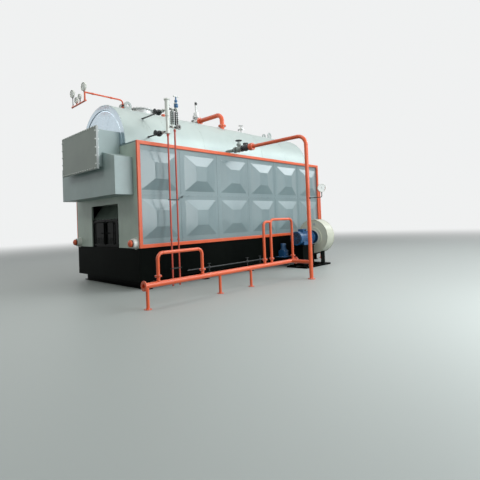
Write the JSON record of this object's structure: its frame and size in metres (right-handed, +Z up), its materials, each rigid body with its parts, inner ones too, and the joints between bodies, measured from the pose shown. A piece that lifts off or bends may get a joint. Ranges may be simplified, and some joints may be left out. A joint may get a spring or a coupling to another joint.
{
  "type": "industrial boiler",
  "caption": "Packaged grate-fired industrial boiler: panelled casing, half-round drum, front smokebox, fire doors, level gauges, feed and steam pipework, and a draught fan at the side.",
  "frame": {"origin": "on the floor, under the middle skid beam, on the centre line", "axes": "+X along the boiler from the front to the rear, +Y away from the side with the gauges and pipes, +Z up"},
  "size_m": [10.654, 7.2631, 6.73],
  "materials": {
    "painted_dark": "satin black paint",
    "panel_paint": "satin blue-grey paint",
    "front_paint": "satin grey-green paint",
    "orange_paint": "satin orange-red paint",
    "drum_sheet": "satin sheet",
    "drum_head": "bright sheet with seams",
    "cast_valve": "painted black",
    "silver_paint": "aluminium paint",
    "white_enamel": "gloss white paint",
    "drain_paint": "dull red paint",
    "fan_paint": "satin cream paint",
    "motor_paint": "gloss blue paint",
    "dial_case": "light case with a pale dial"
  },
  "bodies": {
    "boiler": {"skid_beams": "painted_dark", "base_sides": "painted_dark", "base_ends": "painted_dark", "grate_deck": "painted_dark", "grate_drive": "motor_paint", "casing_near": "panel_paint", "casing_far": "panel_paint", "casing_front": "front_paint", "casing_rear": "panel_paint", "casing_roof": "panel_paint", "side_frames": "orange_paint", "drum_cladding": "drum_sheet", "drum_front_head": "drum_head", "drum_rear_head": "drum_head", "smokebox_lower": "front_paint", "smokebox_upper": "front_paint", "smokebox_cover": "front_paint", "door_frame": "painted_dark", "chute_plate": "painted_dark", "header_ends": "white_enamel", "header_caps": "orange_paint", "water_column": "silver_paint", "level_gauge": "cast_valve", "level_drains": "drain_paint", "gauge_line": "orange_paint", "pressure_gauges": "dial_case", "steam_pipe": "orange_paint", "steam_valve": "silver_paint", "vent_valve": "silver_paint", "manhole_cover": "silver_paint", "lifting_lugs": "drum_sheet", "feed_valve": "cast_valve", "check_valve": "cast_valve", "feed_pipe": "orange_paint", "feed_header": "orange_paint", "loop_pipes": "orange_paint", "rear_riser": "orange_paint", "drain_line": "cast_valve", "fan_scroll": "fan_paint", "fan_motor": "motor_paint", "fan_stand": "painted_dark", "fan_duct": "fan_paint", "flue_outlet": "panel_paint"},
    "fire_door_near": {"door_near": "painted_dark"},
    "fire_door_far": {"door_far": "painted_dark"}
  },
  "joints": [
    {"name": "near_door_hinge", "type": "hinge", "parent": "boiler", "child": "fire_door_near", "pos_m": [-4.468, -0.784, 1.57], "axis": [0, 0, 1], "range_deg": [0, 110]},
    {"name": "far_door_hinge", "type": "hinge", "parent": "boiler", "child": "fire_door_far", "pos_m": [-4.468, 0.784, 1.57], "axis": [0, 0, -1], "range_deg": [0, 110]}
  ]
}
